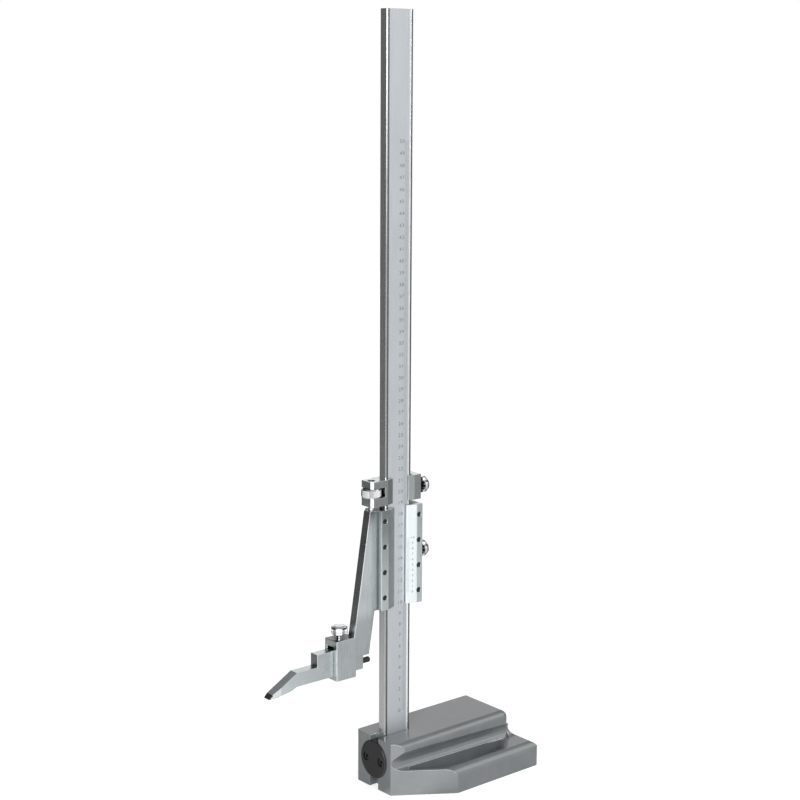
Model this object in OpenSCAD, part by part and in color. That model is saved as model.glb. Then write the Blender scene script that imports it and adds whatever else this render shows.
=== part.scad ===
// Vernier height gauge: a cast grip base, an upright scale beam, a slider with a raked arm and
// scriber, and a fine-adjustment carriage above it.
// Gauge coordinates: X = 0 and Y = 0 on the beam's front left edge, the scale faces -Y, Z = 0 under
// the base. Every node is moved from there so that the origin lies under the middle of the whole.

/* [Beam] */
// Width of the scale face
beam_w = 28.6; // [27:0.2:30]
// Thickness from the raised edges to the back
beam_t = 8.7; // [8.4:0.1:9]
// Height of the beam's top above the surface plate
beam_top = 675; // [660:1:690]
// Height of the beam's foot above the surface plate
beam_foot = 1; // [1:0.5:6]
// Width of each raised edge beside the scale
land_w = 2.6; // [1:0.1:3]
// Depth of the scale below the raised edges
land_h = 0.4; // [0.2:0.1:0.6]

/* [Base] */
// Height of the block's flat top
base_h = 47.4; // [45:0.2:50]
// From the beam's left face to the base's end face
base_nose = 8.6; // [8.4:0.1:10]
// From the beam's left face to the far end of the foot flange
base_far = 140; // [130:0.5:145]
// From the beam's front to the front of the foot flange
base_front = 52; // [51:0.5:56]
// From the beam's front to the back of the base
base_back = 29; // [28:0.5:32]
// Depth of the end face in front of the beam, before the diagonal side
end_front = 18.5; // [16:0.5:20]
// Distance along X at which the diagonal side meets the front
diagonal_x = 41; // [40:0.5:46]
// Height of the foot flange
flange_h = 22.8; // [21:0.1:24]
// Edge radius of the foot flange
flange_r = 8; // [6:0.5:9]
// Edge radius of the block's top
nose_r = 6.5; // [5:0.5:7]
// Radius of the sweep from the block down to the flange
sweep_r = 14; // [10:0.5:15]
// Radius of the finger groove under the block's front edge
groove_r = 6.9; // [6:0.1:7.5]
// Depth of the grip pocket's floor above the surface plate
pocket_z = 11; // [9:0.5:14]

/* [Column clamp] */
// Diameter of the round plug in the end face
plug_d = 34; // [32:0.5:35]
// Height of the plug's centre
plug_z = 27; // [26:0.2:28]
// Distance between the plug's two screws
plug_pitch = 19.7; // [18:0.1:21]
// How far the plug stands out of the end face
plug_out = 1.5; // [0.5:0.1:2]

/* [Slider] */
// Height of the slider's lower end above the surface plate
slider_z = 165.6; // [165:0.2:300]
// Height of the slider
slider_h = 89.1; // [86:0.1:92]
// How far the strips stand in front of the beam
strip_front = 4.9; // [4.5:0.1:5.3]
// Width of the flat part of each strip
strip_w = 7.7; // [7.3:0.1:8]
// How far the left strip's bevel reaches over the scale
bevel_reach = 9.3; // [8:0.1:10]
// Left edge of the vernier plate, measured from the beam's left face
vernier_x = 22.3; // [20:0.1:24]
// Spacing of the four screws in each strip
strip_pitch = 22.8; // [22:0.1:23]

/* [Arm and scriber] */
// Thickness of the arm
arm_t = 8.3; // [7.6:0.1:8.4]
// How far the arm leans out from the slider's top to the window block
arm_lean = 17.3; // [15:0.1:19]
// Width of the arm measured along X
arm_w = 19.1; // [18:0.1:20]
// Width of the window block along X
block_w = 20.9; // [20:0.1:22]
// Depth of the window block along Y
block_d = 16.6; // [15.8:0.2:17]
// Height of the window block
block_h = 35.5; // [34.5:0.1:36]
// Thickness of the scriber bar
scriber_t = 9.2; // [8.6:0.1:9.4]
// Height of the scriber's bar
bar_h = 12.2; // [11.5:0.1:12.4]
// Height of the scriber's tall step
step_h = 23.1; // [22:0.1:24]

/* [Fine adjustment] */
// Height of the carriage
carriage_h = 22.2; // [22:0.1:24]
// Gap between the slider and the carriage
carriage_gap = 3.9; // [3.4:0.1:5]
// Diameter of the knurled nut
nut_d = 17.4; // [16.5:0.1:18]
// Height of the knurled nut
nut_h = 8; // [7.4:0.1:8.2]
// Number of knurl teeth
nut_teeth = 44; // [24:4:60]
// Diameter of the threaded spindle
spindle_d = 5; // [4.5:0.1:5.2]

/* [Clamp screws] */
// Diameter of the clamp knobs
knob_d = 14.2; // [12:0.2:15]
// Height of the clamp knobs
knob_h = 9.3; // [7:0.1:10]
// Diameter of the clamp screws' shanks
shank_d = 5; // [4.5:0.1:5]
// Number of finger flutes round each knob
knob_flutes = 4; // [4:1:8]

/* [Hidden] */

// Clearances
slide_gap = 0.15;
fit_gap = 0.05;
over_gap = 0.25;
past = 1;
fine = 96;
medium = 48;
small = 32;

// Places in gauge coordinates
beam_mid = beam_t / 2;
cheek_x = beam_w + 1.9;
right_x = beam_w + 9.2;
cheek_front = 0.2;
back_in = beam_t + over_gap;
slider_back = beam_t + 4.5;
carriage_back = beam_t + 4.1;
carriage_front = 2.7;
slider_top = slider_z + slider_h;
carriage_z = slider_top + carriage_gap;
strip_left = -8.2;
left_screw_x = strip_left + strip_w / 2;
right_screw_x = right_x - strip_w / 2;
strip_right_x = right_x - strip_w + 1.4;
screw_low = slider_z + 11.2;
clamp_z = slider_z + 45.4;
carriage_clamp_z = carriage_z + 10.4;
gib_screw_low = slider_z + 16;
gib_screw_high = slider_z + 72;

// Arm, window block and scriber
arm_top_x = -17;
arm_foot_x = arm_top_x - arm_lean;
block_left = -53.4;
block_right = block_left + block_w;
block_front = cheek_front;
block_z = slider_z - 55.1;
block_top = block_z + block_h;
arm_low_z = slider_z - 37.7;
arm_slope = arm_lean / (slider_top - block_top);
scriber_y = 4.6;
scriber_mid = scriber_y + scriber_t / 2;
bar_z = block_z + 3.55;
bar_top = bar_z + bar_h;
step_top = bar_z + step_h;
step_left = -71;
foot_right = -21.2;
tip_x = -120.5;
tip_z = bar_z - 5.4;
slope_x = -92.5;
window_top = step_top + 3.1;
scriber_clamp_x = -43.7;
pin_r = 2.5;
pin_end = -11;
pin_z = bar_z + 5.3;

// Fine adjustment
spindle_x = -12.5;
fork_left = -17.4;
fork_inner = -2.2;
fork_back = 11.4;
fork_cut = 2.1;
slot_low = carriage_z + 7.4;
slot_high = slot_low + nut_h + 0.6;
spindle_top = slot_high + 2;
knob_gap = 1.9;

// Base
block_far = base_far - 12.1;
block_face = -(end_front + 7);
groove_z = flange_h - 0.15 + groove_r;
nose_edge_z = base_h - nose_r - 0.9;
groove_skew = 1.8;
pocket_end = 118;
plug_y = beam_mid + 0.15;
plug_face = -base_nose - plug_out;
plug_inner = -0.1;

// The origin: under the middle of the whole gauge
centre_x = (tip_x + base_far) / 2;
centre_y = (base_back - base_front) / 2;

module placed() {
    translate([-centre_x, -centre_y, 0]) children();
}

// A box between two corners
module span(low, high) {
    translate(low) cube(high - low);
}

// An XZ outline made solid between two Y values
module along_y(y0, y1) {
    translate([0, y1, 0]) rotate([90, 0, 0]) linear_extrude(y1 - y0) children();
}

// A rod along X
module rod_x(x0, x1, y, z, r, facets = medium) {
    translate([x0, y, z]) rotate([0, 90, 0]) cylinder(h = x1 - x0, r = r, $fn = facets);
}

// A rod along Y
module rod_y(y0, y1, x, z, r, facets = medium) {
    translate([x, y1, z]) rotate([90, 0, 0]) cylinder(h = y1 - y0, r = r, $fn = facets);
}

// A slab with square edges on the left and back, and round edges on the front and far sides
module rounded_slab(left, far, front, back, height, r) {
    linear_extrude(height - r) {
        translate([left, front + r]) square([far - left, back - front - r]);
        translate([left, front]) square([far - r - left, back - front]);
        translate([far - r, front + r]) circle(r, $fn = fine);
    }
    span([left, front + r, 0], [far - r, back, height]);
    rod_x(left, far - r, front + r, height - r, r, fine);
    rod_y(front + r, back, far - r, height - r, r, fine);
    translate([far - r, front + r, height - r]) sphere(r, $fn = fine);
}

// Section of a slab with one rounded top edge, on the right
module edge_section(width, height, r) {
    square([width, height - r]);
    square([width - r, height]);
    translate([width - r, height - r]) circle(r, $fn = fine);
}

// The flange: rounded along its front and far top edges, and at the corner between them
module flange() {
    corner_r = 3.5;
    difference() {
        intersection() {
            translate([-base_nose, base_back, 0]) rotate([90, 0, 90]) linear_extrude(base_far + base_nose)
                mirror([1, 0]) edge_section(base_front + base_back, flange_h, flange_r);
            along_y(-base_front, base_back) translate([-base_nose, 0])
                edge_section(base_far + base_nose, flange_h, flange_r);
        }
        translate([base_far, -base_front, -past]) linear_extrude(flange_h + 2 * past)
            corner_nip(corner_r, 90);
    }
}

// The hollow sweep that carries the block's far face down into the flange's rounded edge
module far_sweep() {
    edge_x = base_far - flange_r;
    dx = block_far + sweep_r - edge_x;
    dz = sqrt((sweep_r + flange_r) * (sweep_r + flange_r) - dx * dx);
    sink = 0.3;
    reach = edge_x + dx * flange_r / (sweep_r + flange_r) - block_far;
    low = flange_h - flange_r + dz - sink - sweep_r;
    along_y(block_face - 3, base_back) translate([block_far - past, low]) difference() {
        square([reach + past, sweep_r]);
        translate([sweep_r + past, sweep_r]) circle(sweep_r, $fn = fine);
    }
}

// The vertical diagonal side that joins the narrow end face to the front
module diagonal_cut() {
    run = diagonal_x + base_nose;
    drop = base_front - end_front;
    translate([-base_nose, -end_front, -past]) rotate([0, 0, -atan2(drop, run)])
        translate([-2 * base_nose, -base_front, 0]) cube([2 * base_far, base_front, base_h + 2 * past]);
}

// Section of the finger groove, in from the front: a hollow floor that runs level to the front,
// and an upper side that slopes back out to the block's nose
module groove_profile() {
    lean = 40;
    edge_out = 6.2;
    floor_z = groove_z - groove_r;
    polygon([
        [-groove_r - 2 * base_front, floor_z], [-groove_r, floor_z], [-groove_r, groove_z],
        [-groove_r * (1 - cos(lean)), groove_z + groove_r * sin(lean)],
        [-edge_out, nose_edge_z], [-groove_r - 2 * base_front, nose_edge_z]
    ]);
    translate([-groove_r, groove_z]) intersection() {
        circle(groove_r, $fn = fine);
        translate([0, -groove_r]) square(2 * groove_r);
    }
}

// The groove for the fingertips, a little skewed in plan, runs the whole length of the block
module finger_groove() {
    run_out = 30;
    translate([-base_nose, -end_front, 0]) rotate([0, 0, -groove_skew]) translate([-run_out, 0, 0])
        rotate([90, 0, 90]) linear_extrude(base_far + base_nose + 2 * run_out) groove_profile();
}

// The deep grip pocket behind the flange's lip, with one side along the diagonal
module grip_pocket() {
    wall = 3.4;
    slope = (base_front - end_front) / (diagonal_x + base_nose);
    inner_line = wall * sqrt(1 + slope * slope) - end_front - slope * base_nose;
    front = 8.2 - base_front;
    rear_slope = tan(2.2);
    rear = -21.7;
    tip_at = (inner_line - rear) / (slope - rear_slope);
    tip = [tip_at, rear - rear_slope * tip_at];
    far_rear = [pocket_end + 3.6, rear - rear_slope * (pocket_end + 3.6)];
    far_front = [pocket_end - 14.5, front];
    near_front = [(inner_line - front) / slope, front];
    translate([0, 0, pocket_z]) linear_extrude(groove_z - 3 - pocket_z) polygon(concat(
        corner_arc(near_front, tip, far_rear, 2.2),
        corner_arc(tip, far_rear, far_front, 2),
        corner_arc(far_rear, far_front, near_front, 5),
        corner_arc(far_front, near_front, tip, 20)
    ));
}

// Points of a round corner at b, on the way from a to c
function corner_arc(a, b, c, r) =
    let (
        to_a = (a - b) / norm(a - b),
        to_c = (c - b) / norm(c - b),
        half = acos(to_a * to_c) / 2,
        middle = b + (to_a + to_c) / norm(to_a + to_c) * r / sin(half),
        start = b + to_a * r / tan(half) - middle,
        side = cross([start.x, start.y, 0], [to_a.x, to_a.y, 0]).z > 0 ? -1 : 1,
        steps = max(3, round((180 - 2 * half) / 9))
    )
    [for (i = [0:steps]) let (t = side * (180 - 2 * half) * i / steps)
        middle + [start.x * cos(t) - start.y * sin(t), start.x * sin(t) + start.y * cos(t)]];

// What a round corner leaves out of a square one; the corner is at the origin
module corner_nip(r, turn) {
    rotate(turn) difference() {
        translate([-past, -past]) square(r + past);
        translate([r, r]) circle(r, $fn = medium);
    }
}

module base() {
    slot_left = -1.2;
    slot_right = beam_t + 1.6;
    color("dimgray") placed() difference() {
        union() {
            flange();
            rounded_slab(-base_nose, block_far, block_face, base_back, base_h, nose_r);
            far_sweep();
        }
        diagonal_cut();
        finger_groove();
        grip_pocket();
        span([-base_nose - past, slot_left, -past], [-0.8, slot_right, base_h + past]);
        span([-past, -fit_gap, -past], [beam_w + fit_gap, beam_t + fit_gap, base_h + past]);
        rod_x(-base_nose - past, -fit_gap, plug_y, plug_z, plug_d / 2 + fit_gap, fine);
        for (side = [-1, 1])
            rod_x(-past, 26, plug_y + side * plug_pitch / 2, plug_z, 2.1);
        span([diagonal_x - 4, -base_front + 10, -past], [base_far - 10, base_back - 10, past]);
        translate([-base_nose, base_back, -past]) linear_extrude(base_h + 2 * past) corner_nip(3, -90);
    }
}

module base_plug() {
    color("#26282a") placed() difference() {
        union() {
            rod_x(plug_face + 0.6, plug_inner, plug_y, plug_z, plug_d / 2, fine);
            translate([plug_face, plug_y, plug_z]) rotate([0, 90, 0])
                cylinder(h = 0.6, r1 = plug_d / 2 - 0.6, r2 = plug_d / 2, $fn = fine);
        }
        for (side = [-1, 1]) {
            y = plug_y + side * plug_pitch / 2;
            rod_x(plug_face - past, plug_face + 5.5, y, plug_z, 4.1);
            rod_x(plug_face - past, past, y, plug_z, 2.2);
        }
    }
}

// A socket-head screw along +X: its head's face at x = 0, a hexagon socket, then its shank
module socket_screw(head_r, head_h, shank_r, length, socket_r) {
    rotate([0, 90, 0]) difference() {
        union() {
            cylinder(h = head_h, r = head_r, $fn = small);
            cylinder(h = length, r = shank_r, $fn = small);
        }
        translate([0, 0, -past]) cylinder(h = head_h * 0.6 + past, r = socket_r, $fn = 6);
    }
}

module plug_screws() {
    color("#1c1d1f") placed() for (side = [-1, 1])
        translate([plug_face + 1.3, plug_y + side * plug_pitch / 2, plug_z])
            socket_screw(3.9, 4.2, 2.05, 30, 2);
}

module beam() {
    front_cut = 0.9;
    back_cut = 0.3;
    color("lightsteelblue") placed() translate([0, 0, beam_foot]) linear_extrude(beam_top - beam_foot)
        polygon([
            [front_cut, 0], [land_w, 0], [land_w, land_h], [beam_w - land_w, land_h],
            [beam_w - land_w, 0], [beam_w - front_cut, 0], [beam_w, front_cut],
            [beam_w, beam_t - back_cut], [beam_w - back_cut, beam_t],
            [back_cut, beam_t], [0, beam_t - back_cut], [0, front_cut]
        ]);
}

// Side view of the arm with the slider's left cheek, from the top round to the window block
module arm_outline() {
    low_x = arm_foot_x - arm_slope * (block_top - arm_low_z) + arm_w;
    polygon([
        [arm_top_x, slider_top], [-slide_gap, slider_top], [-slide_gap, slider_z],
        [low_x + arm_slope * (slider_z - arm_low_z), slider_z], [low_x, arm_low_z],
        [block_right - past, arm_low_z], [block_right - past, block_top - past],
        [arm_foot_x - arm_slope * past, block_top - past]
    ]);
}

module slider_body() {
    color("#8f9497") placed() difference() {
        union() {
            along_y(cheek_front, cheek_front + arm_t) arm_outline();
            span([block_left, block_front, block_z], [block_right, block_front + block_d, block_top]);
            span([-12, cheek_front, slider_z], [-slide_gap, slider_back, slider_top]);
            span([-12, back_in, slider_z], [right_x, slider_back, slider_top]);
            span([cheek_x, -over_gap, slider_z], [right_x, slider_back, slider_top]);
        }
        span([block_left - past, scriber_y - slide_gap, bar_z - slide_gap],
             [block_right, scriber_y + scriber_t + slide_gap, window_top]);
        translate([scriber_clamp_x, scriber_mid, window_top - past])
            cylinder(h = block_top - window_top + 2 * past, r = shank_d / 2 + fit_gap, $fn = medium);
        translate([spindle_x, beam_mid, slider_top - 14])
            cylinder(h = 14 + past, r = spindle_d / 2 + fit_gap, $fn = medium);
        rod_x(cheek_x - past, right_x + past, beam_mid, clamp_z, shank_d / 2 + fit_gap);
        for (z = [gib_screw_low, gib_screw_high])
            rod_x(cheek_x - past, right_x + past, beam_mid, z, 1.5 + fit_gap);
        for (i = [0:3]) {
            rod_y(cheek_front - past, 7, left_screw_x, screw_low + i * strip_pitch, 1.25);
            rod_y(-over_gap - past, 7, right_screw_x, screw_low + i * strip_pitch, 1.25);
        }
    }
}

// Four counterbored holes down a strip, cut from its front
module strip_holes(x) {
    for (i = [0:3]) {
        z = screw_low + i * strip_pitch;
        rod_y(-strip_front - past, -strip_front + 2.2, x, z, 2.25);
        rod_y(-strip_front - past, past, x, z, 1.3);
        translate([x, -strip_front - past, z]) rotate([-90, 0, 0])
            cylinder(h = 0.4 + past, r1 = 2.65 + past, r2 = 2.25, $fn = medium);
    }
}

module left_strip() {
    color("#9aa0a4") placed() difference() {
        translate([0, 0, slider_z]) linear_extrude(slider_h) polygon([
            [strip_left, cheek_front], [strip_left, -strip_front], [strip_left + strip_w, -strip_front],
            [bevel_reach, -0.7], [bevel_reach, -over_gap], [-slide_gap, -over_gap],
            [-slide_gap, cheek_front]
        ]);
        strip_holes(left_screw_x);
    }
}

module right_strip() {
    color("#9aa0a4") placed() difference() {
        span([strip_right_x, -strip_front, slider_z], [right_x, -1.9, slider_top]);
        strip_holes(right_screw_x);
    }
}

module vernier_plate() {
    color("white") placed() difference() {
        translate([0, 0, slider_z]) linear_extrude(slider_h) polygon([
            [vernier_x, -over_gap], [vernier_x, -2.2], [strip_right_x, -4.3], [strip_right_x, -1.9],
            [right_x, -1.9], [right_x, -over_gap]
        ]);
        strip_holes(right_screw_x);
    }
}

// Four socket screws down a strip
module strip_screws(x) {
    for (i = [0:3])
        translate([x, -strip_front + 0.6, screw_low + i * strip_pitch]) rotate([0, 0, 90])
            socket_screw(2.15, 1.6, 1.2, 10.2, 1.2);
}

module left_strip_screws() {
    color("#1c1d1f") placed() strip_screws(left_screw_x);
}

module right_strip_screws() {
    color("#1c1d1f") placed() strip_screws(right_screw_x);
}

// A friction strip between the beam's right edge and the right cheek
module gib(z0, z1) {
    span([beam_w + slide_gap, cheek_front, z0], [cheek_x, beam_t - 0.3, z1]);
}

module slider_gib() {
    color("goldenrod") placed() gib(slider_z + 2, slider_top - 2);
}

module carriage_gib() {
    color("goldenrod") placed() gib(carriage_z + 1, carriage_z + carriage_h - 1);
}

module gib_screws() {
    color("#1c1d1f") placed() for (z = [gib_screw_low, gib_screw_high])
        translate([right_x - 0.4, beam_mid, z]) rotate([0, 0, 180])
            socket_screw(1.5, right_x - 0.4 - cheek_x, 1.4, right_x - 0.4 - cheek_x, 0.9);
}

// The brass pad that a clamp screw pushes against its gib
module clamp_pad(z) {
    rod_x(cheek_x, cheek_x + 1.2, beam_mid, z, shank_d / 2 - 0.1);
}

module slider_clamp_pad() {
    color("goldenrod") placed() clamp_pad(clamp_z);
}

module carriage_clamp_pad() {
    color("goldenrod") placed() clamp_pad(carriage_clamp_z);
}

// A fluted knob on a shank, standing along +Z, with the shank's free end at z = 0
module clamp_screw(shank_l, turn) {
    neck_r = 3.4;
    cone = 2.2;
    dome = 1.8;
    flute_r = 5.1;
    flute_depth = 1.2;
    translate([0, 0, shank_l]) difference() {
        rotate_extrude($fn = fine) polygon([
            [0, 0], [neck_r, 0], [knob_d / 2, cone], [knob_d / 2, knob_h - dome],
            [knob_d / 2 - 0.8, knob_h - dome / 2], [knob_d / 2 - 2.6, knob_h - 0.3], [0, knob_h]
        ]);
        for (i = [0:knob_flutes - 1])
            rotate(turn + i * 360 / knob_flutes)
                translate([knob_d / 2 + flute_r - flute_depth, 0, -past])
                    cylinder(h = knob_h + 2 * past, r = flute_r, $fn = fine);
    }
    cylinder(h = shank_l + past, r = shank_d / 2, $fn = medium);
}

// A clamp screw laid along +X, its tip just clear of the pad
module side_clamp(z) {
    shank_l = right_x + knob_gap - cheek_x - 1.25;
    translate([cheek_x + 1.25, beam_mid, z]) rotate([0, 90, 0]) clamp_screw(shank_l, 45);
}

module slider_clamp_screw() {
    color("gainsboro") placed() side_clamp(clamp_z);
}

module carriage_clamp_screw() {
    color("gainsboro") placed() side_clamp(carriage_clamp_z);
}

module scriber_clamp_screw() {
    low = step_top + fit_gap;
    color("gainsboro") placed() translate([scriber_clamp_x, scriber_mid, low])
        clamp_screw(block_top + knob_gap - low, 5);
}

module scriber() {
    color("#a3a8ab") placed() difference() {
        along_y(scriber_y, scriber_y + scriber_t) polygon([
            [tip_x + 1.5, tip_z], [tip_x + 7.6, tip_z], [tip_x + 11.6, tip_z + 1.2],
            [tip_x + 22.6, tip_z + 3], [tip_x + 27.8, bar_z], [foot_right, bar_z],
            [foot_right, bar_top], [block_right - 0.6, bar_top], [block_right - 0.6, step_top],
            [step_left, step_top], [step_left, bar_top], [slope_x, bar_top],
            [tip_x + 3.3, tip_z + 3.6], [tip_x + 4.1, tip_z + 2.9]
        ]);
        tip_relief();
        rod_x(foot_right - 10, foot_right + past, scriber_mid, pin_z, pin_r + 0.02);
    }
}

// The hard insert brazed on the scribing edge
module scriber_tip() {
    color("#202224") placed() difference() {
        along_y(scriber_y, scriber_y + scriber_t) polygon([
            [tip_x, tip_z], [tip_x + 1.5, tip_z], [tip_x + 4.1, tip_z + 2.9], [tip_x + 3.3, tip_z + 3.6]
        ]);
        tip_relief();
    }
}

// The ground facet that narrows the scriber towards its tip
module tip_relief() {
    reach = 11.5;
    depth = 1.7;
    beyond = 0.5;
    translate([0, 0, tip_z - past]) linear_extrude(12) polygon([
        [tip_x + reach, scriber_y], [tip_x - beyond, scriber_y + depth * (1 + beyond / reach)],
        [tip_x - beyond, scriber_y - 1], [tip_x + reach, scriber_y - 1]
    ]);
}

module rear_pin() {
    round_r = 1;
    pin_l = pin_end - foot_right + 10;
    color("#1c1d1f") placed() translate([foot_right - 10, scriber_mid, pin_z]) rotate([0, 90, 0])
        rotate_extrude($fn = medium) {
            square([pin_r, pin_l - round_r]);
            square([pin_r - round_r, pin_l]);
            translate([pin_r - round_r, pin_l - round_r]) intersection() {
                circle(round_r, $fn = small);
                square(round_r);
            }
        }
}

// The fork that traps the nut, with its front left edge cut off flat
module fork() {
    translate([0, 0, carriage_z]) linear_extrude(carriage_h) polygon([
        [fork_left + fork_cut, -carriage_front], [-slide_gap, -carriage_front], [-slide_gap, fork_back],
        [fork_left, fork_back], [fork_left, -carriage_front + fork_cut]
    ]);
}

module carriage_body() {
    top = carriage_z + carriage_h;
    right = right_x - 0.2;
    color("#8f9497") placed() difference() {
        union() {
            fork();
            translate([0, 0, carriage_z]) linear_extrude(carriage_h) {
                polygon([
                    [-3, -carriage_front], [0.4, -carriage_front], [7.3, -0.75],
                    [7.3, -over_gap], [-3, -over_gap]
                ]);
                polygon([
                    [25.2, -over_gap], [25.2, -0.75], [cheek_x, -carriage_front],
                    [right, -carriage_front], [right, -over_gap]
                ]);
            }
            span([-5, back_in, carriage_z], [right, carriage_back, top]);
            span([cheek_x, -over_gap - past, carriage_z], [right, carriage_back, top]);
        }
        span([fork_left - past, -carriage_front - past, slot_low],
             [fork_inner, fork_back + past, slot_high]);
        translate([spindle_x, beam_mid, slot_high - past]) cylinder(h = 20, r = 3.3, $fn = medium);
        translate([spindle_x, beam_mid, carriage_z - past]) cylinder(h = 10, r = 2.8, $fn = medium);
        rod_x(cheek_x - past, right + past, beam_mid, carriage_clamp_z, shank_d / 2 + fit_gap);
    }
}

module knurled_nut() {
    root_r = nut_d / 2 - 0.45;
    rim_r = root_r - 0.15;
    edge = 1.1;
    low = slot_low + 0.3;
    color("whitesmoke") placed() translate([spindle_x, beam_mid, low]) difference() {
        union() {
            translate([0, 0, edge]) linear_extrude(nut_h - 2 * edge) polygon([
                for (i = [0:2 * nut_teeth - 1])
                    let (r = i % 2 == 0 ? nut_d / 2 : root_r, a = i * 180 / nut_teeth)
                        [r * cos(a), r * sin(a)]
            ]);
            cylinder(h = edge, r1 = rim_r - 0.7, r2 = rim_r, $fn = fine);
            translate([0, 0, nut_h - edge]) cylinder(h = edge, r1 = rim_r, r2 = rim_r - 0.7, $fn = fine);
        }
        translate([0, 0, -past]) cylinder(h = nut_h + 2 * past, r = spindle_d / 2 + fit_gap, $fn = medium);
    }
}

module fine_spindle() {
    low = slider_top - 13.8;
    point = 0.6;
    color("silver") placed() translate([spindle_x, beam_mid, low]) {
        cylinder(h = spindle_top - point - low, r = spindle_d / 2, $fn = medium);
        translate([0, 0, spindle_top - point - low])
            cylinder(h = point, r1 = spindle_d / 2, r2 = spindle_d / 2 - point, $fn = medium);
    }
}

base();
base_plug();
plug_screws();
beam();
carriage_body();
carriage_gib();
carriage_clamp_pad();
carriage_clamp_screw();
knurled_nut();
fine_spindle();
slider_body();
left_strip();
left_strip_screws();
right_strip();
right_strip_screws();
vernier_plate();
slider_gib();
gib_screws();
slider_clamp_pad();
slider_clamp_screw();
scriber();
scriber_tip();
rear_pin();
scriber_clamp_screw();
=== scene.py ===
"""Looks of the vernier height gauge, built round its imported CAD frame.

Every length is in metres in the row frame: the origin lies on the surface plate under the middle
of the gauge, the graduated face looks along -Y, and the scriber points along -X.
"""

import logging
import math
from dataclasses import dataclass, field
from enum import Enum

import bmesh
import bpy
from mathutils import Matrix, Vector


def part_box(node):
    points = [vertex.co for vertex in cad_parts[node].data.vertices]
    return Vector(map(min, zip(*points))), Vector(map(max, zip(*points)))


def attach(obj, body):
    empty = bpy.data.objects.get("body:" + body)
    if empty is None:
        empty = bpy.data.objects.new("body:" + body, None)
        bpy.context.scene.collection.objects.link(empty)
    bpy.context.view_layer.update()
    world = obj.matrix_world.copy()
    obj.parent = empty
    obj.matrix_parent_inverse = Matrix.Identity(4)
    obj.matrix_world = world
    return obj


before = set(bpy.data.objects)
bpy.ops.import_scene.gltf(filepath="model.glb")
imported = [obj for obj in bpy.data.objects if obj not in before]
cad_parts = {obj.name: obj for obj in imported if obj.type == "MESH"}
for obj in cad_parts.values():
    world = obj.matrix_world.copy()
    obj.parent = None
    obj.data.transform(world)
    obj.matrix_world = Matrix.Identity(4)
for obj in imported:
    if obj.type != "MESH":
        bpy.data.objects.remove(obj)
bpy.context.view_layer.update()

LOG = logging.getLogger("height_gauge")
MM = 0.001

Colour = tuple[float, float, float]
Opaque = tuple[float, float, float, float]
Socket = bpy.types.NodeSocket
BLACK: Opaque = (0.0, 0.0, 0.0, 1.0)
WHITE: Opaque = (1.0, 1.0, 1.0, 1.0)


class Axis(Enum):
    """Direction in which a surface was ground, or along which a knob points."""

    X = (1.0, 0.0, 0.0)
    Z = (0.0, 0.0, 1.0)


class Body(Enum):
    """Moving bodies that carry the pieces made here."""

    STAND = "stand"
    SLIDER = "slider"


# Materials.


def heading(azimuth: float) -> tuple[float, float]:
    """Returns the level heading of an azimuth in degrees from +X."""
    return math.cos(math.radians(azimuth)), math.sin(math.radians(azimuth))


def shade(colour: Colour, share: float = 1.0) -> Opaque:
    """Returns an opaque colour, darker or lighter by a share."""
    red, green, blue = (min(1.0, c * share) for c in colour)
    return red, green, blue, 1.0


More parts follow.
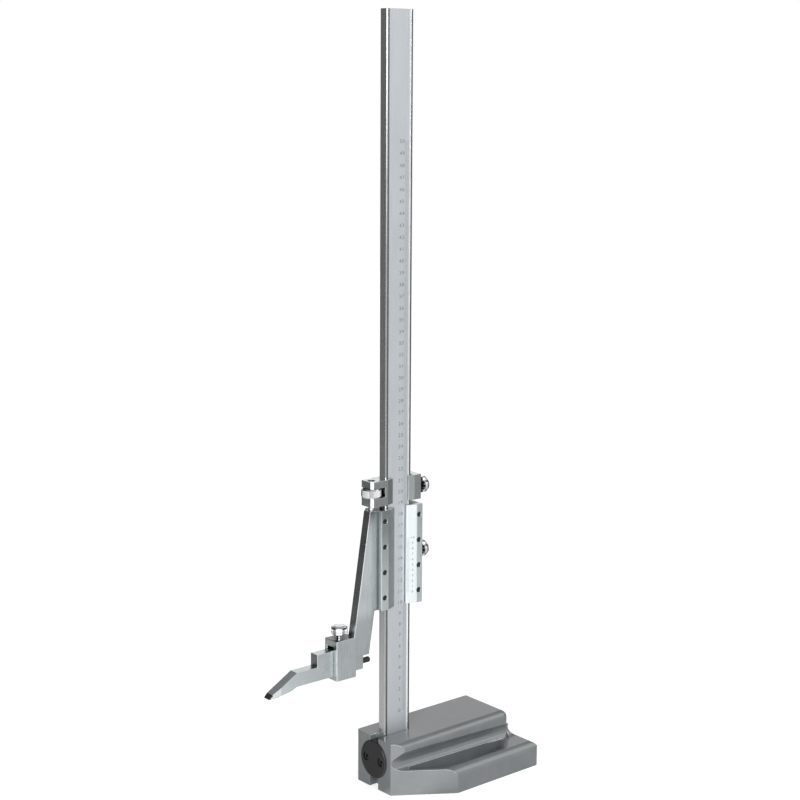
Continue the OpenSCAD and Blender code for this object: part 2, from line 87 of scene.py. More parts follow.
class Nodes:
    """Node tree, with short calls for adding and joining its nodes."""

    def __init__(self, tree: bpy.types.NodeTree) -> None:
        """Takes the tree that the calls work on."""
        self.tree = tree

    def add(self, kind: str, **settings: object) -> bpy.types.Node:
        """Adds a node.

        Args:
            kind: the node's type, without the ShaderNode prefix.
            **settings: attributes set on the node.

        Returns:
            The new node.
        """
        node = self.tree.nodes.new("ShaderNode" + kind)
        for key, value in settings.items():
            setattr(node, key, value)
        return node

    def join(self, source: Socket, target: Socket) -> None:
        """Links one socket to another."""
        self.tree.links.new(source, target)

    def feed(self, target: Socket, value: object) -> None:
        """Links a socket to the target, or sets a constant on it.

        Args:
            target: the socket to feed.
            value: a socket or a constant.
        """
        if isinstance(value, Socket):
            self.join(value, target)
        else:
            target.default_value = value

    def math(
        self, operation: str, a: object, b: object = 0.0, clamp: bool = False
    ) -> Socket:
        """Adds a Math node.

        Args:
            operation: what it works out.
            a: the first value or socket.
            b: the second value or socket.
            clamp: whether the result is held between 0 and 1.

        Returns:
            The result.
        """
        node = self.add("Math", operation=operation, use_clamp=clamp)
        self.feed(node.inputs[0], a)
        self.feed(node.inputs[1], b)
        return node.outputs[0]

    def times(self, first: object, second: object) -> Socket:
        """Returns the product of two values or sockets."""
        return self.math("MULTIPLY", first, second)

    def span(
        self, value: Socket, low: float, high: float, to_low: float, to_high: float, smooth: bool = False
    ) -> Socket:
        """Carries a value from one range to another, and holds it at the ends.

        Args:
            value: the value to carry.
            low: start of its own range.
            high: end of its own range.
            to_low: what the start becomes.
            to_high: what the end becomes.
            smooth: whether the change eases in and out.

        Returns:
            The carried value.
        """
        kind = "SMOOTHSTEP" if smooth else "LINEAR"
        node = self.add("MapRange", clamp=True, interpolation_type=kind)
        node.inputs["From Min"].default_value = low
        node.inputs["From Max"].default_value = high
        node.inputs["To Min"].default_value = to_low
        node.inputs["To Max"].default_value = to_high
        self.join(value, node.inputs["Value"])
        return node.outputs["Result"]

    def stretch(
        self, value: Socket, start: float, end: float, soft: float, strength: float = 1.0
    ) -> Socket:
        """Marks a stretch of a value.

        Args:
            value: the value, such as a height.
            start: where the stretch begins.
            end: where it ends.
            soft: half the width over which each end fades.
            strength: the mark inside the stretch.

        Returns:
            The strength inside the stretch, and 0 outside.
        """
        return self.times(
            self.span(value, start - soft, start + soft, 0.0, strength),
            self.span(value, end - soft, end + soft, 1.0, 0.0),
        )

    def parts(self, vector: Socket) -> tuple[Socket, Socket, Socket]:
        """Splits a vector.

        Args:
            vector: the vector to split.

        Returns:
            Its X, Y and Z.
        """
        node = self.add("SeparateXYZ")
        self.join(vector, node.inputs[0])
        return node.outputs["X"], node.outputs["Y"], node.outputs["Z"]

    def moved(self, vector: Socket, origin: tuple[float, ...]) -> Socket:
        """Measures a vector from another origin.

        Args:
            vector: the vector to move.
            origin: the place to measure from.

        Returns:
            The moved vector.
        """
        node = self.add("VectorMath", operation="SUBTRACT")
        node.inputs[1].default_value = origin
        self.join(vector, node.inputs[0])
        return node.outputs["Vector"]

    def along(self, vector: Socket, azimuth: float) -> Socket:
        """Measures a vector along a level heading.

        Args:
            vector: the vector to measure.
            azimuth: the heading, in degrees from +X.

        Returns:
            How far the vector reaches that way.
        """
        node = self.add("VectorMath", operation="DOT_PRODUCT")
        node.inputs[1].default_value = (*heading(azimuth), 0.0)
        self.join(vector, node.inputs[0])
        return node.outputs["Value"]


class Shader(Nodes):
    """Node tree of one material."""

    def __init__(self, name: str) -> None:
        """Starts an empty material with a Principled surface.

        Args:
            name: name of the material.
        """
        self.material = bpy.data.materials.new(name)
        self.material.use_nodes = True
        super().__init__(self.material.node_tree)
        self.inputs = self.tree.nodes["Principled BSDF"].inputs

    def position(self, scale: tuple[float, float, float] = (1, 1, 1)) -> Socket:
        """Reads Object coordinates.

        Args:
            scale: factor along each axis.

        Returns:
            The scaled coordinates.
        """
        coordinate = self.add("TexCoord")
        mapping = self.add("Mapping")
        mapping.inputs["Scale"].default_value = scale
        self.join(coordinate.outputs["Object"], mapping.inputs["Vector"])
        return mapping.outputs["Vector"]

    def facing(self) -> tuple[Socket, Socket, Socket]:
        """Returns the X, Y and Z of the way that a face looks, before any edge is rounded."""
        return self.parts(self.add("NewGeometry").outputs["True Normal"])

    def noise(self, vector: Socket, scale: float, detail: float) -> Socket:
        """Adds a noise texture.

        Args:
            vector: the coordinates it reads.
            scale: its waves to a unit of them.
            detail: how many finer layers it has.

        Returns:
            Its value, mostly between 0.3 and 0.7.
        """
        node = self.add("TexNoise")
        node.inputs["Scale"].default_value = scale
        node.inputs["Detail"].default_value = detail
        self.join(vector, node.inputs["Vector"])
        return node.outputs["Fac"]

    def spread(self, noise: Socket, low: float = 0.0, high: float = 1.0, reach: float = 0.2) -> Socket:
        """Returns noise carried to a range from its middle stretch, where nearly all of it lies."""
        return self.span(noise, 0.5 - reach, 0.5 + reach, low, high)

    def blend(self, share: object, first: object, second: object) -> Socket:
        """Mixes two colours.

        Args:
            share: share of the second colour, from 0 to 1.
            first: the first colour.
            second: the second colour.

        Returns:
            The mixed colour.
        """
        node = self.add("Mix", data_type="RGBA")
        self.feed(node.inputs["Factor"], share)
        self.feed(node.inputs[6], first)
        self.feed(node.inputs[7], second)
        return node.outputs[2]

    def round_edges(self, radius: float) -> Socket:
        """Rounds the shading of sharp edges.

        Args:
            radius: radius of the rounding.

        Returns:
            Normals that run round each edge.
        """
        node = self.add("Bevel", samples=6)
        node.inputs["Radius"].default_value = radius
        return node.outputs["Normal"]

    def edge_mask(self, radius: float, low: float = 0.02, high: float = 0.12) -> Socket:
        """Marks the sharp edges.

        Args:
            radius: how far the mark reaches from the edge.
            low: turn of the rounded normal at which the mark starts.
            high: turn at which it is full.

        Returns:
            1 along sharp edges, and 0 on open faces.
        """
        product = self.add("VectorMath", operation="DOT_PRODUCT")
        self.join(self.round_edges(radius), product.inputs[0])
        self.join(self.add("NewGeometry").outputs["Normal"], product.inputs[1])
        return self.span(self.math("SUBTRACT", 1.0, product.outputs["Value"]), low, high, 0.0, 1.0)

    def recess_mask(self, reach: float, low: float = 0.2, high: float = 0.6) -> Socket:
        """Marks slots, holes and gaps.

        Args:
            reach: how near a wall has to be to close a point in.
            low: openness at which the mark is full.
            high: openness at which it ends.

        Returns:
            1 deep inside, and 0 on open faces.
        """
        node = self.add("AmbientOcclusion", samples=8)
        node.inputs["Distance"].default_value = reach
        return self.span(node.outputs["AO"], low, high, 1.0, 0.0)

    def bump(self, height: Socket, strength: float, distance: float, normal: Socket) -> Socket:
        """Tilts normals by a fine relief.

        Args:
            height: the relief.
            strength: how much of the tilt is kept.
            distance: depth of the relief.
            normal: the normals to tilt.

        Returns:
            The tilted normals.
        """
        node = self.add("Bump")
        node.inputs["Strength"].default_value = strength
        node.inputs["Distance"].default_value = distance
        self.join(height, node.inputs["Height"])
        self.join(normal, node.inputs["Normal"])
        return node.outputs["Normal"]


@dataclass(frozen=True)
class GroundMetal:
    """Metal with fine grinding lines, painted shade by height and on each kind of face, painted shade in
    recesses, and painted highlights along the edges.

    A share says how much of the colour a face keeps.

    Attributes:
        tones: painted shade of the front faces, as shares they keep by height, in pairs of a height and a
            share.
        left: share of the faces that look left, as painted shade.
        top: share of the faces that look up, as painted shade.
        turned: share of the faces that look to the right, or partly so, as painted shade.
        left_bevel: share of the bevels that look partly to the left, as painted shade.
        bevel_reach: how far to the left such a bevel looks at most, as the X of its normal.
        window: where along X the front's painted shade starts to change, where it ends, and what share it
            ends on.
    """

    name: str
    colour: Colour
    roughness: float
    grain: Axis = Axis.Z
    grain_pitch: float = 0.35 * MM
    grain_length: float = 14 * MM
    groove_depth: float = 0.02 * MM
    contrast: float = 0.07
    edge_radius: float = 0.6 * MM
    # Painted highlight: share of a near-white colour blended into sharp edges, and that colour.
    edge_highlight: float = 0.6
    edge_highlight_colour: Opaque = (0.95, 0.95, 0.95, 1.0)
    # Painted shade in slots, holes and gaps: reach of the mask, and how far it darkens towards black.
    recess_reach: float = 5 * MM
    recess_depth: float = 0.85
    tones: tuple[tuple[float, float], ...] = ((0.0, 1.0),)
    left: float = 1.0
    top: float = 1.0
    turned: float = 1.0
    left_bevel: float = 1.0
    bevel_reach: float = 0.5
    window: tuple[float, float, float] = (1.0, 2.0, 1.0)

    def shade_by_height(self, s: Shader, height: Socket) -> Socket:
        """Adds a ramp through the painted shades by height.

        Args:
            s: the material's node tree.
            height: height of the point.

        Returns:
            The share that a front face keeps there.
        """
        ramp_top = 0.3
        ramp = s.add("ValToRGB")
        stops = ramp.color_ramp.elements
        while len(stops) > 1:
            stops.remove(stops[-1])
        first_height, first_share = self.tones[0]
        stops[0].position, stops[0].color = first_height / ramp_top, (*(first_share,) * 3, 1.0)
        for at, share in self.tones[1:]:
            stops.new(at / ramp_top).color = (share, share, share, 1.0)
        s.join(s.math("DIVIDE", height, ramp_top), ramp.inputs["Fac"])
        return ramp.outputs["Color"]

    def painted_shading(self, s: Shader) -> Socket:
        """Adds the painted shade: the shares that faces keep by their height and by the way that they
        look.

        Args:
            s: the material's node tree.

        Returns:
            A share from 0 to 1.
        """
        nearly, squarely = 0.9, 0.98
        turn_start, turn_end = 0.2, 0.3
        bevel_start, bevel_end, bevel_fade = 0.15, 0.25, 0.1
        x, _, z = s.parts(s.position())
        out_x, out_y, out_z = s.facing()
        start, end, share = self.window
        past = s.span(x, start, end, 0.0, 1.0)
        before = s.times(self.shade_by_height(s, z), s.math("SUBTRACT", 1.0, past))
        front = s.math("ADD", before, s.times(past, share))
        faces_front = s.span(out_y, -squarely, -nearly, 1.0, 0.0)
        total = s.math("ADD", s.times(faces_front, front), s.math("SUBTRACT", 1.0, faces_front))
        total = s.times(total, s.span(out_x, -nearly, -squarely, 1.0, self.left))
        total = s.times(total, s.span(out_z, nearly, squarely, 1.0, self.top))
        total = s.times(total, s.span(out_x, turn_start, turn_end, 1.0, self.turned))
        on_bevel = s.times(
            s.span(out_x, -bevel_start, -bevel_end, 0.0, 1.0 - self.left_bevel),
            s.span(out_x, -self.bevel_reach, -self.bevel_reach - bevel_fade, 1.0, 0.0),
        )
        return s.times(total, s.math("SUBTRACT", 1.0, on_bevel))

    def material(self) -> bpy.types.Material:
        """Makes the finish.

        Returns:
            The new material.
        """
        s = Shader(self.name)
        fine, long = 1 / self.grain_pitch, 1 / self.grain_length
        scale = tuple(long if runs else fine for runs in self.grain.value)
        lines = s.noise(s.position(scale), 1.0, 2.0)
        cloud = s.noise(s.position(), 60.0, 4.0)
        dark, light = shade(self.colour, 1 - self.contrast), shade(self.colour, 1 + self.contrast)
        body = s.blend(s.spread(lines), dark, light)
        # Painted shade: slots, holes and gaps darkened towards black.
        recess = s.times(s.recess_mask(self.recess_reach), self.recess_depth)
        kept = s.times(self.painted_shading(s), s.math("SUBTRACT", 1.0, recess))
        body = s.blend(kept, BLACK, body)
        # Painted highlight: sharp edges blended towards a near-white colour.
        edge = s.times(s.edge_mask(self.edge_radius), self.edge_highlight)
        s.join(s.blend(edge, body, self.edge_highlight_colour), s.inputs["Base Color"])
        s.inputs["Metallic"].default_value = 1.0
        rough = s.math("ADD", s.spread(lines, -0.05, 0.05, reach=0.25), s.spread(cloud, -0.04, 0.04))
        s.join(s.math("ADD", rough, self.roughness, True), s.inputs["Roughness"])
        smooth = s.round_edges(self.edge_radius)
        s.join(s.bump(lines, 0.25, self.groove_depth, smooth), s.inputs["Normal"])
        return s.material


@dataclass(frozen=True)
class Polished:
    """Bright plated metal with soft edges and a faint haze."""

    name: str
    colour: Colour
    roughness: float
    edge_radius: float = 0.4 * MM
    haze_scale: float = 400.0

    def material(self) -> bpy.types.Material:
        """Makes the finish.

        Returns:
            The new material.
        """
        s = Shader(self.name)
        haze = s.noise(s.position(), self.haze_scale, 3.0)
        body = s.blend(s.spread(haze), shade(self.colour, 0.93), shade(self.colour))
        s.join(body, s.inputs["Base Color"])
        s.inputs["Metallic"].default_value = 1.0
        s.join(s.spread(haze, self.roughness * 0.7, self.roughness * 1.3), s.inputs["Roughness"])
        s.join(s.round_edges(self.edge_radius), s.inputs["Normal"])
        return s.material


@dataclass(frozen=True)
class DarkBand:
    """Ring of a knob that stands for a dark part of the room which such a knob mirrors.

    Attributes:
        start: where it begins, up from the knob's foot.
        end: where it ends.
        strength: how dark it is, up to 1.
        flutes_only: whether it stays inside the finger flutes.
        gaps: how many times the band pales round the knob.
    """

    start: float
    end: float
    strength: float
    flutes_only: bool = False
    gaps: int = 0


@dataclass(frozen=True)
class KnobChrome:
    """Bright chrome of a fluted knob, with dark bands round it painted as reflections of dark parts of
    the room.
    """

    name: str
    node: str
    axis: Axis
    bands: tuple[DarkBand, ...]
    length: float = 9.3 * MM
    radius: float = 7.1 * MM
    soft: float = 0.2 * MM
    colour: Colour = (0.9, 0.91, 0.92)
    dark: Opaque = (0.015, 0.015, 0.016, 1.0)
    roughness: float = 0.12
    edge_radius: float = 0.4 * MM
    haze_scale: float = 400.0

    def darkness(self, s: Shader) -> Socket:
        """Adds the dark bands, painted reflections of the room.

        Args:
            s: the material's node tree.

        Returns:
            How dark a point is, from 0 to 1.
        """
        low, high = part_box(self.node)
        along = self.axis.value.index(1.0)
        foot = list((low + high) / 2)
        foot[along] = high[along] - self.length
        places = s.parts(s.moved(s.position(), tuple(foot)))
        rise = places[along]
        first, second = (place for index, place in enumerate(places) if index != along)
        squares = s.math("ADD", s.times(first, first), s.times(second, second))
        rim_start, rim_end = self.radius - 0.2 * MM, self.radius - 0.08 * MM
        in_flute = s.span(s.math("SQRT", squares), rim_start, rim_end, 1.0, 0.0)
        angle = s.math("ARCTAN2", first, second)
        dark: object = 0.0
        for band in self.bands:
            inside = s.stretch(rise, band.start, band.end, self.soft, band.strength)
            if band.flutes_only:
                inside = s.times(inside, in_flute)
            if band.gaps:
                wave = s.math("COSINE", s.times(angle, float(band.gaps)))
                inside = s.times(inside, s.span(wave, -0.9, -0.3, 0.75, 1.0))
            dark = s.math("MAXIMUM", dark, inside)
        return dark

    def material(self) -> bpy.types.Material:
        """Makes the finish.

        Returns:
            The new material.
        """
        s = Shader(self.name)
        s.join(s.blend(self.darkness(s), shade(self.colour), self.dark), s.inputs["Base Color"])
        s.inputs["Metallic"].default_value = 1.0
        haze = s.noise(s.position(), self.haze_scale, 3.0)
        s.join(s.spread(haze, self.roughness * 0.7, self.roughness * 1.3), s.inputs["Roughness"])
        s.join(s.round_edges(self.edge_radius), s.inputs["Normal"])
        return s.material


@dataclass(frozen=True)
class Casting:
    """Painted iron casting: an even grey coat with a fine tooth, and pale grip-side edges that are
    painted highlights as well as wear of the paint.
    """

    name: str
    colour: Colour
    # Near-white colour of the grip-side edges: painted highlight as well as wear of the paint.
    highlight_and_wear_colour: Colour
    roughness: float
    density: float = 2.0
    tooth: float = 0.5 * MM
    tooth_depth: float = 0.05 * MM
    edge_radius: float = 0.8 * MM

    def highlight_and_wear_edges(self, s: Shader, cloud: Socket) -> Socket:
        """Adds pale edges, painted highlights as well as wear of the paint, along the edges that look
        towards the grip side and up or down.

        Args:
            s: the material's node tree.
            cloud: noise that breaks the pale edges up.

        Returns:
            How pale the edge is, from 0 to 1, as painted highlight and wear of the paint.
        """
        edge = s.times(s.edge_mask(self.edge_radius), s.spread(cloud, 0.7, 1.0))
        _, out_y, out_z = s.parts(s.round_edges(self.edge_radius))
        grip_side = s.span(out_y, -0.4, -0.1, 1.0, 0.1)
        tilted = s.span(s.math("ABSOLUTE", out_z), 0.08, 0.25, 0.2, 1.0)
        return s.times(s.times(edge, grip_side), tilted)

    def material(self) -> bpy.types.Material:
        """Makes the finish.

        Returns:
            The new material.
        """
        s = Shader(self.name)
        tooth = s.noise(s.position(), 1 / self.tooth, 2.0)
        cloud = s.noise(s.position(), 45.0, 5.0)
        dark, light, bright = (shade(self.colour, share) for share in (0.92, 1.08, 1.25))
        body = s.blend(s.spread(cloud, reach=0.15), dark, light)
        speck = s.blend(s.span(tooth, 0.45, 0.75, 0.0, 0.25), body, bright)
        # Pale grip-side edges: painted highlight as well as wear of the paint.
        pale_edges = s.blend(self.highlight_and_wear_edges(s, cloud), speck, shade(self.highlight_and_wear_colour))
        s.join(pale_edges, s.inputs["Base Color"])
        rough = s.spread(cloud, self.roughness - 0.05, self.roughness + 0.05)
        s.join(rough, s.inputs["Roughness"])
        s.inputs["IOR"].default_value = self.density
        smooth = s.round_edges(self.edge_radius)
        s.join(s.bump(tooth, 0.12, self.tooth_depth, smooth), s.inputs["Normal"])
        return s.material


@dataclass(frozen=True)
class Coated:
    """Dark or coloured coat without metal shine, such as blacking or engraving paint."""

    name: str
    colour: Colour
    roughness: float
    edge_radius: float = 0.3 * MM
    grit_depth: float = 0.03 * MM
    # Sharp edges are blended towards a paler grey by this share.
    pale_edges: float = 0.25
    pale_edge_colour: Opaque = (0.5, 0.5, 0.5, 1.0)

    def material(self) -> bpy.types.Material:
        """Makes the finish.

        Returns:
            The new material.
        """
        s = Shader(self.name)
        grit = s.noise(s.position(), 900.0, 3.0)
        body = s.blend(s.spread(grit, reach=0.15), shade(self.colour, 0.8), shade(self.colour, 1.2))
        edge = s.times(s.edge_mask(self.edge_radius), self.pale_edges)
        s.join(s.blend(edge, body, self.pale_edge_colour), s.inputs["Base Color"])
        rough = s.spread(grit, self.roughness - 0.06, self.roughness + 0.06)
        s.join(rough, s.inputs["Roughness"])
        smooth = s.round_edges(self.edge_radius)
        s.join(s.bump(grit, 0.2, self.grit_depth, smooth), s.inputs["Normal"])
        return s.material


@dataclass(frozen=True)
class ScaleBeam:
    """Beam finish: satin chrome where the scale is cut, and ground steel on its edges and sides.

    Attributes:
        satin: colour of the scale.
        steel: colour of the narrow sides and chamfers.
        land: colour of the raised edges beside the scale, ground steel kept dark as a painted reflection.
        face_depth: the Y of the scale's sunk face.
        highlight_line: start and end, along X, of the painted highlight line beside the right raised
            edge.
        highlight_fade: heights between which that painted highlight fades, and the share that it fades
            to.
        side_metal: how much of a metal the narrow sides are.
        chamfer_shade: how much darker the left chamfer is, as painted shade.
    """

    name: str
    satin: Colour
    steel: Colour
    land: Colour
    face_depth: float
    highlight_line: tuple[float, float]
    highlight_fade: tuple[float, float, float] = (0.19, 0.23, 0.35)
    side_metal: float = 0.8
    chamfer_shade: float = 0.5
    line_pitch: float = 0.4 * MM
    line_length: float = 25 * MM
    edge_radius: float = 0.3 * MM
    groove_depth: float = 0.02 * MM

    def bare(self, s: Shader, lines: Socket, out_x: Socket, land: Socket) -> Socket:
        """Adds the ground steel, with painted shade on the left chamfer and the raised edges darkened as
        a painted reflection.

        Args:
            s: the material's node tree.
            lines: noise of the grinding lines.
            out_x: the X of the way that the face looks.
            land: 1 on the raised edges.

        Returns:
            Its colour.
        """
        steel = s.blend(s.spread(lines, 0.8, 1.0), BLACK, shade(self.steel))
        chamfer = s.times(s.span(out_x, -0.3, -0.4, 0.0, 1.0), s.span(out_x, -0.85, -0.8, 0.0, 1.0))
        steel = s.blend(s.times(chamfer, self.chamfer_shade), steel, BLACK)
        return s.blend(land, steel, shade(self.land))

    def painted_highlight_line(self, s: Shader, x: Socket, z: Socket) -> Socket:
        """Marks the painted highlight line beside the right raised edge.

        Args:
            s: the material's node tree.
            x: the X of the point.
            z: the height of the point.

        Returns:
            1 on the line, less above its fade, and 0 elsewhere.
        """
        start, end = self.highlight_line
        fade_start, fade_end, faded = self.highlight_fade
        line = s.stretch(x, start, end, 0.2 * MM)
        return s.times(line, s.span(z, fade_start, fade_end, 1.0, faded))

    def material(self) -> bpy.types.Material:
        """Makes the finish.

        Returns:
            The new material.
        """
        s = Shader(self.name)
        across, along = 1 / self.line_pitch, 1 / self.line_length
        lines = s.noise(s.position((across, across, along)), 1.0, 3.0)
        cloud = s.noise(s.position((1.0, 1.0, 0.25)), 60.0, 4.0)
        out_x, out_y, _ = s.facing()
        x, y, z = s.parts(s.position())
        sunk = s.span(y, self.face_depth - 0.05 * MM, self.face_depth, 0.0, 1.0)
        scale = s.times(s.span(out_y, -0.95, -0.9, 1.0, 0.0), sunk)
        side = s.span(out_x, -0.9, -0.8, 1.0, 0.0)
        land = s.times(s.math("SUBTRACT", 1.0, side), s.math("SUBTRACT", 1.0, sunk))
        grey = s.times(s.spread(lines, 0.93, 1.0), s.spread(cloud, 0.94, 1.0))
        satin = s.blend(grey, BLACK, shade(self.satin))
        # Painted highlight: edges, and the line beside the right raised edge, blended towards white.
        edge = s.times(s.edge_mask(self.edge_radius), 0.3)
        edge = s.math("MAXIMUM", edge, s.times(self.painted_highlight_line(s, x, z), scale))
        body = s.blend(scale, self.bare(s, lines, out_x, land), satin)
        s.join(s.blend(edge, body, WHITE), s.inputs["Base Color"])
        s.join(s.span(side, 0.0, 1.0, 1.0, self.side_metal), s.inputs["Metallic"])
        rough = s.span(scale, 0.0, 1.0, 0.24, 0.5)
        rough = s.math("ADD", rough, s.spread(lines, -0.05, 0.05, reach=0.25), True)
        s.join(rough, s.inputs["Roughness"])
        smooth = s.round_edges(self.edge_radius)
        s.join(s.bump(lines, 0.2, self.groove_depth, smooth), s.inputs["Normal"])
        return s.material


class FinishCard:
    """All finishes of the gauge, each made once."""

    STEEL: Colour = (0.68, 0.73, 0.74)

    def __init__(self) -> None:
        """Makes every finish."""
        self.casting = Casting("cast_grey", (0.152, 0.167, 0.172), (0.95, 0.97, 0.97), 0.2).material()
        self.beam = self.beam_finish()
        self.slider = self.slider_finish()
        self.left_strip, self.right_strip = self.strip_finishes()
        # Carriage and scriber: lighter copies of the steel as painted light, with painted shade on their
        # faces, and painted shade in the carriage's recesses.
        self.carriage = self.ground(
            "carriage_steel",
            1.2,
            tones=((0.0, 0.4),),
            turned=0.42,
            left_bevel=0.4,
            recess_reach=8 * MM,
            recess_depth=0.96,
        )
        self.scriber = self.ground("scriber_steel", 1.1, grain=Axis.X, tones=((0.0, 0.64),), left=0.37)
        # Vernier plate: the default painted edge highlight and painted recess shade.
        self.plate = GroundMetal("vernier_satin", (0.83, 0.875, 0.895), 0.45, contrast=0.02).material()
        self.chrome = Polished("bright_chrome", (0.66, 0.67, 0.68), 0.16).material()
        self.knobs = self.knob_finishes()
        self.brass = Polished("brass", (0.72, 0.52, 0.24), 0.3).material()
        self.black = Coated("blacking", (0.009, 0.009, 0.01), 0.42).material()
        self.carbide = Coated("carbide", (0.03, 0.031, 0.034), 0.3, pale_edges=0.5).material()
        self.ink = Coated("engraving_ink", (0.2, 0.21, 0.23), 0.6, pale_edges=0.0).material()

    def ground(self, name: str, light_share: float = 1.0, **settings: object) -> bpy.types.Material:
        """Returns a copy of the ground steel, made lighter than the plain one by a share as painted
        light.
        """
        red, green, blue = (light_share * c for c in self.STEEL)
        return GroundMetal(name, (red, green, blue), 0.3, **settings).material()

    def beam_finish(self) -> bpy.types.Material:
        """Fits the beam's finish to where its scale and right raised edge lie.

        Returns:
            The new material.
        """
        low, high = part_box("beam")
        right_land = high.x - 2.6 * MM
        return ScaleBeam(
            "beam_scale",
            satin=(0.68, 0.715, 0.745),
            steel=(0.66, 0.67, 0.67),
            # Dark raised edges: painted reflection on the ground steel.
            land=(0.17, 0.18, 0.19),
            face_depth=low.y + Stand.land_height,
            highlight_line=(right_land - 1.5 * MM, right_land),
        ).material()

    def slider_finish(self) -> bpy.types.Material:
        """Makes the slider's steel, with painted shade up the arm, beside the left strip, and on its
        faces that look left, up or to the right.

        Returns:
            The new material.
        """
        tones = (
            (0.15, 0.715),
            (0.157, 0.76),
            (0.169, 0.98),
            (0.181, 0.92),
            (0.193, 1.0),
            (0.2293, 1.0),
            (0.241, 0.86),
            (0.2473, 0.6),
            (0.2533, 0.26),
            (0.2594, 0.13),
        )
        return self.ground(
            "slider_steel",
            tones=tones,
            left=0.88,
            top=0.38,
            turned=0.52,
            window=(-26.0 * MM, -18.5 * MM, 0.235),
            edge_radius=1.0 * MM,
            recess_reach=8 * MM,
            recess_depth=0.96,
        )

    def strip_finishes(self) -> tuple[bpy.types.Material, bpy.types.Material]:
        """Makes the steels of the two strips, with painted shade by height and on their faces.

        Returns:
            The left strip's material and the right strip's.
        """
        left_tones = (
            (0.1786, 0.93),
            (0.2007, 0.84),
            (0.2131, 0.75),
            (0.2201, 0.7),
            (0.2359, 0.475),
            (0.2577, 0.365),
        )
        right_tones = ((0.2, 1.0), (0.24, 0.8))
        # Strips: painted shade on the left bevels, and a weaker painted edge highlight.
        rims = {"left_bevel": 0.4, "bevel_reach": 0.85, "edge_highlight": 0.25}
        left = self.ground("left_strip_steel", tones=left_tones, turned=0.52, **rims)
        return left, self.ground("right_strip_steel", tones=right_tones, **rims)

    def knob_finishes(self) -> dict[str, bpy.types.Material]:
        """Makes the chrome of the clamp screws, with dark bands painted as reflections of the room.

        Returns:
            Each screw's material, by its node.
        """
        side_bands = (
            DarkBand(-2 * MM, 3.5 * MM, 1.0, gaps=12),
            DarkBand(5.8 * MM, 12 * MM, 0.62),
        )
        top_bands = (
            DarkBand(6.2 * MM, 7.9 * MM, 1.0, flutes_only=True),
            DarkBand(0.6 * MM, 2.6 * MM, 0.75, flutes_only=True),
            DarkBand(7.9 * MM, 12 * MM, 0.08),
            DarkBand(2.8 * MM, 5.2 * MM, 0.4),
        )
        knobs = (
            KnobChrome("carriage_knob", "carriage_clamp_screw", Axis.X, side_bands),
            KnobChrome("slider_knob", "slider_clamp_screw", Axis.X, side_bands),
            KnobChrome("scriber_knob", "scriber_clamp_screw", Axis.Z, top_bands),
        )
        return {knob.node: knob.material() for knob in knobs}


# Mesh helpers.


def piece_from(
    bm: bmesh.types.BMesh, name: str, finish: bpy.types.Material, body: Body
) -> None:
    """Turns a bmesh into a finished piece that rides on a body.

    Args:
        bm: the mesh, in row-frame metres; it is freed here.
        name: name of the piece.
        finish: its material.
        body: the body it moves with.
    """
    mesh = bpy.data.meshes.new(name)
    bm.to_mesh(mesh)
    bm.free()
    mesh.materials.append(finish)
    piece = bpy.data.objects.new(name, mesh)
    bpy.context.scene.collection.objects.link(piece)
    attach(piece, body.value)
    LOG.info("piece %s: %d faces on %s", name, len(mesh.polygons), body.value)


def dress(node: str, finish: bpy.types.Material) -> None:
    """Gives a CAD node its finish.

    Args:
        node: name of the node.
        finish: its material.
    """
    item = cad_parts[node]
    item.data.materials.clear()
    item.data.materials.append(finish)
    LOG.info("dressed %s in %s", node, finish.name)


def graduation(index: int, plain: float, fifth: float, tenth: float) -> float:
    """Chooses a graduation's value by its place on the scale.

    Args:
        index: its number from the scale's zero.
        plain: the value for most lines.
        fifth: the value for each fifth line.
        tenth: the value for each tenth line.

    Returns:
        The value that holds for this line.
    """
    if index % 10 == 0:
        return tenth
    return fifth if index % 5 == 0 else plain


